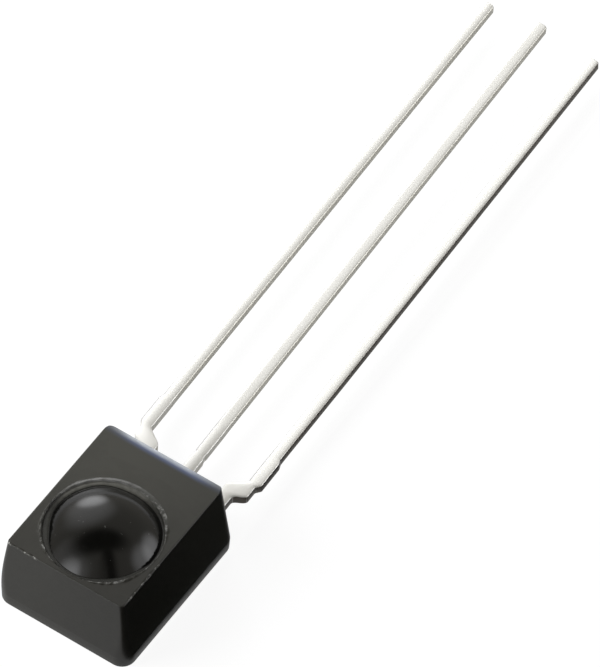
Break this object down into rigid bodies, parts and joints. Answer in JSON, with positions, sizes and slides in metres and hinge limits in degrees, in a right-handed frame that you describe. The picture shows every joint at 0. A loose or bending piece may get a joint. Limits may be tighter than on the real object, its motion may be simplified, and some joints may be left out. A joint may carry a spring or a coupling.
{
  "type": "infrared receiver module",
  "caption": "Black moulded infrared receiver module with a domed lens and a row of long tinned leads, for remote control signals.",
  "frame": {"origin": "middle of the flat back face of the moulded case, below the middle of the front face", "axes": "+X across the row of leads towards the output lead, +Y along the leads towards their tips, +Z out of the front face, the way the lens looks"},
  "size_m": [0.0065, 0.0353, 0.0047],
  "materials": {
    "epoxy_case": "satin moulded faces with a glossy lens",
    "tinned_lead": "tin-plated, with bare cut edges",
    "silicon_chip": "polished",
    "die_glue": "silver-filled, matte",
    "gold_wire": "drawn, bright"
  },
  "bodies": {
    "root": {"moulded_case": "epoxy_case", "output_lead": "tinned_lead", "ground_lead": "tinned_lead", "supply_lead": "tinned_lead", "diode_glue": "die_glue", "photodiode_chip": "silicon_chip", "receiver_glue": "die_glue", "receiver_chip": "silicon_chip", "output_wire": "gold_wire", "supply_wire": "gold_wire", "ground_wire": "gold_wire", "anode_wire": "gold_wire", "cathode_wire": "gold_wire"}
  },
  "joints": []
}
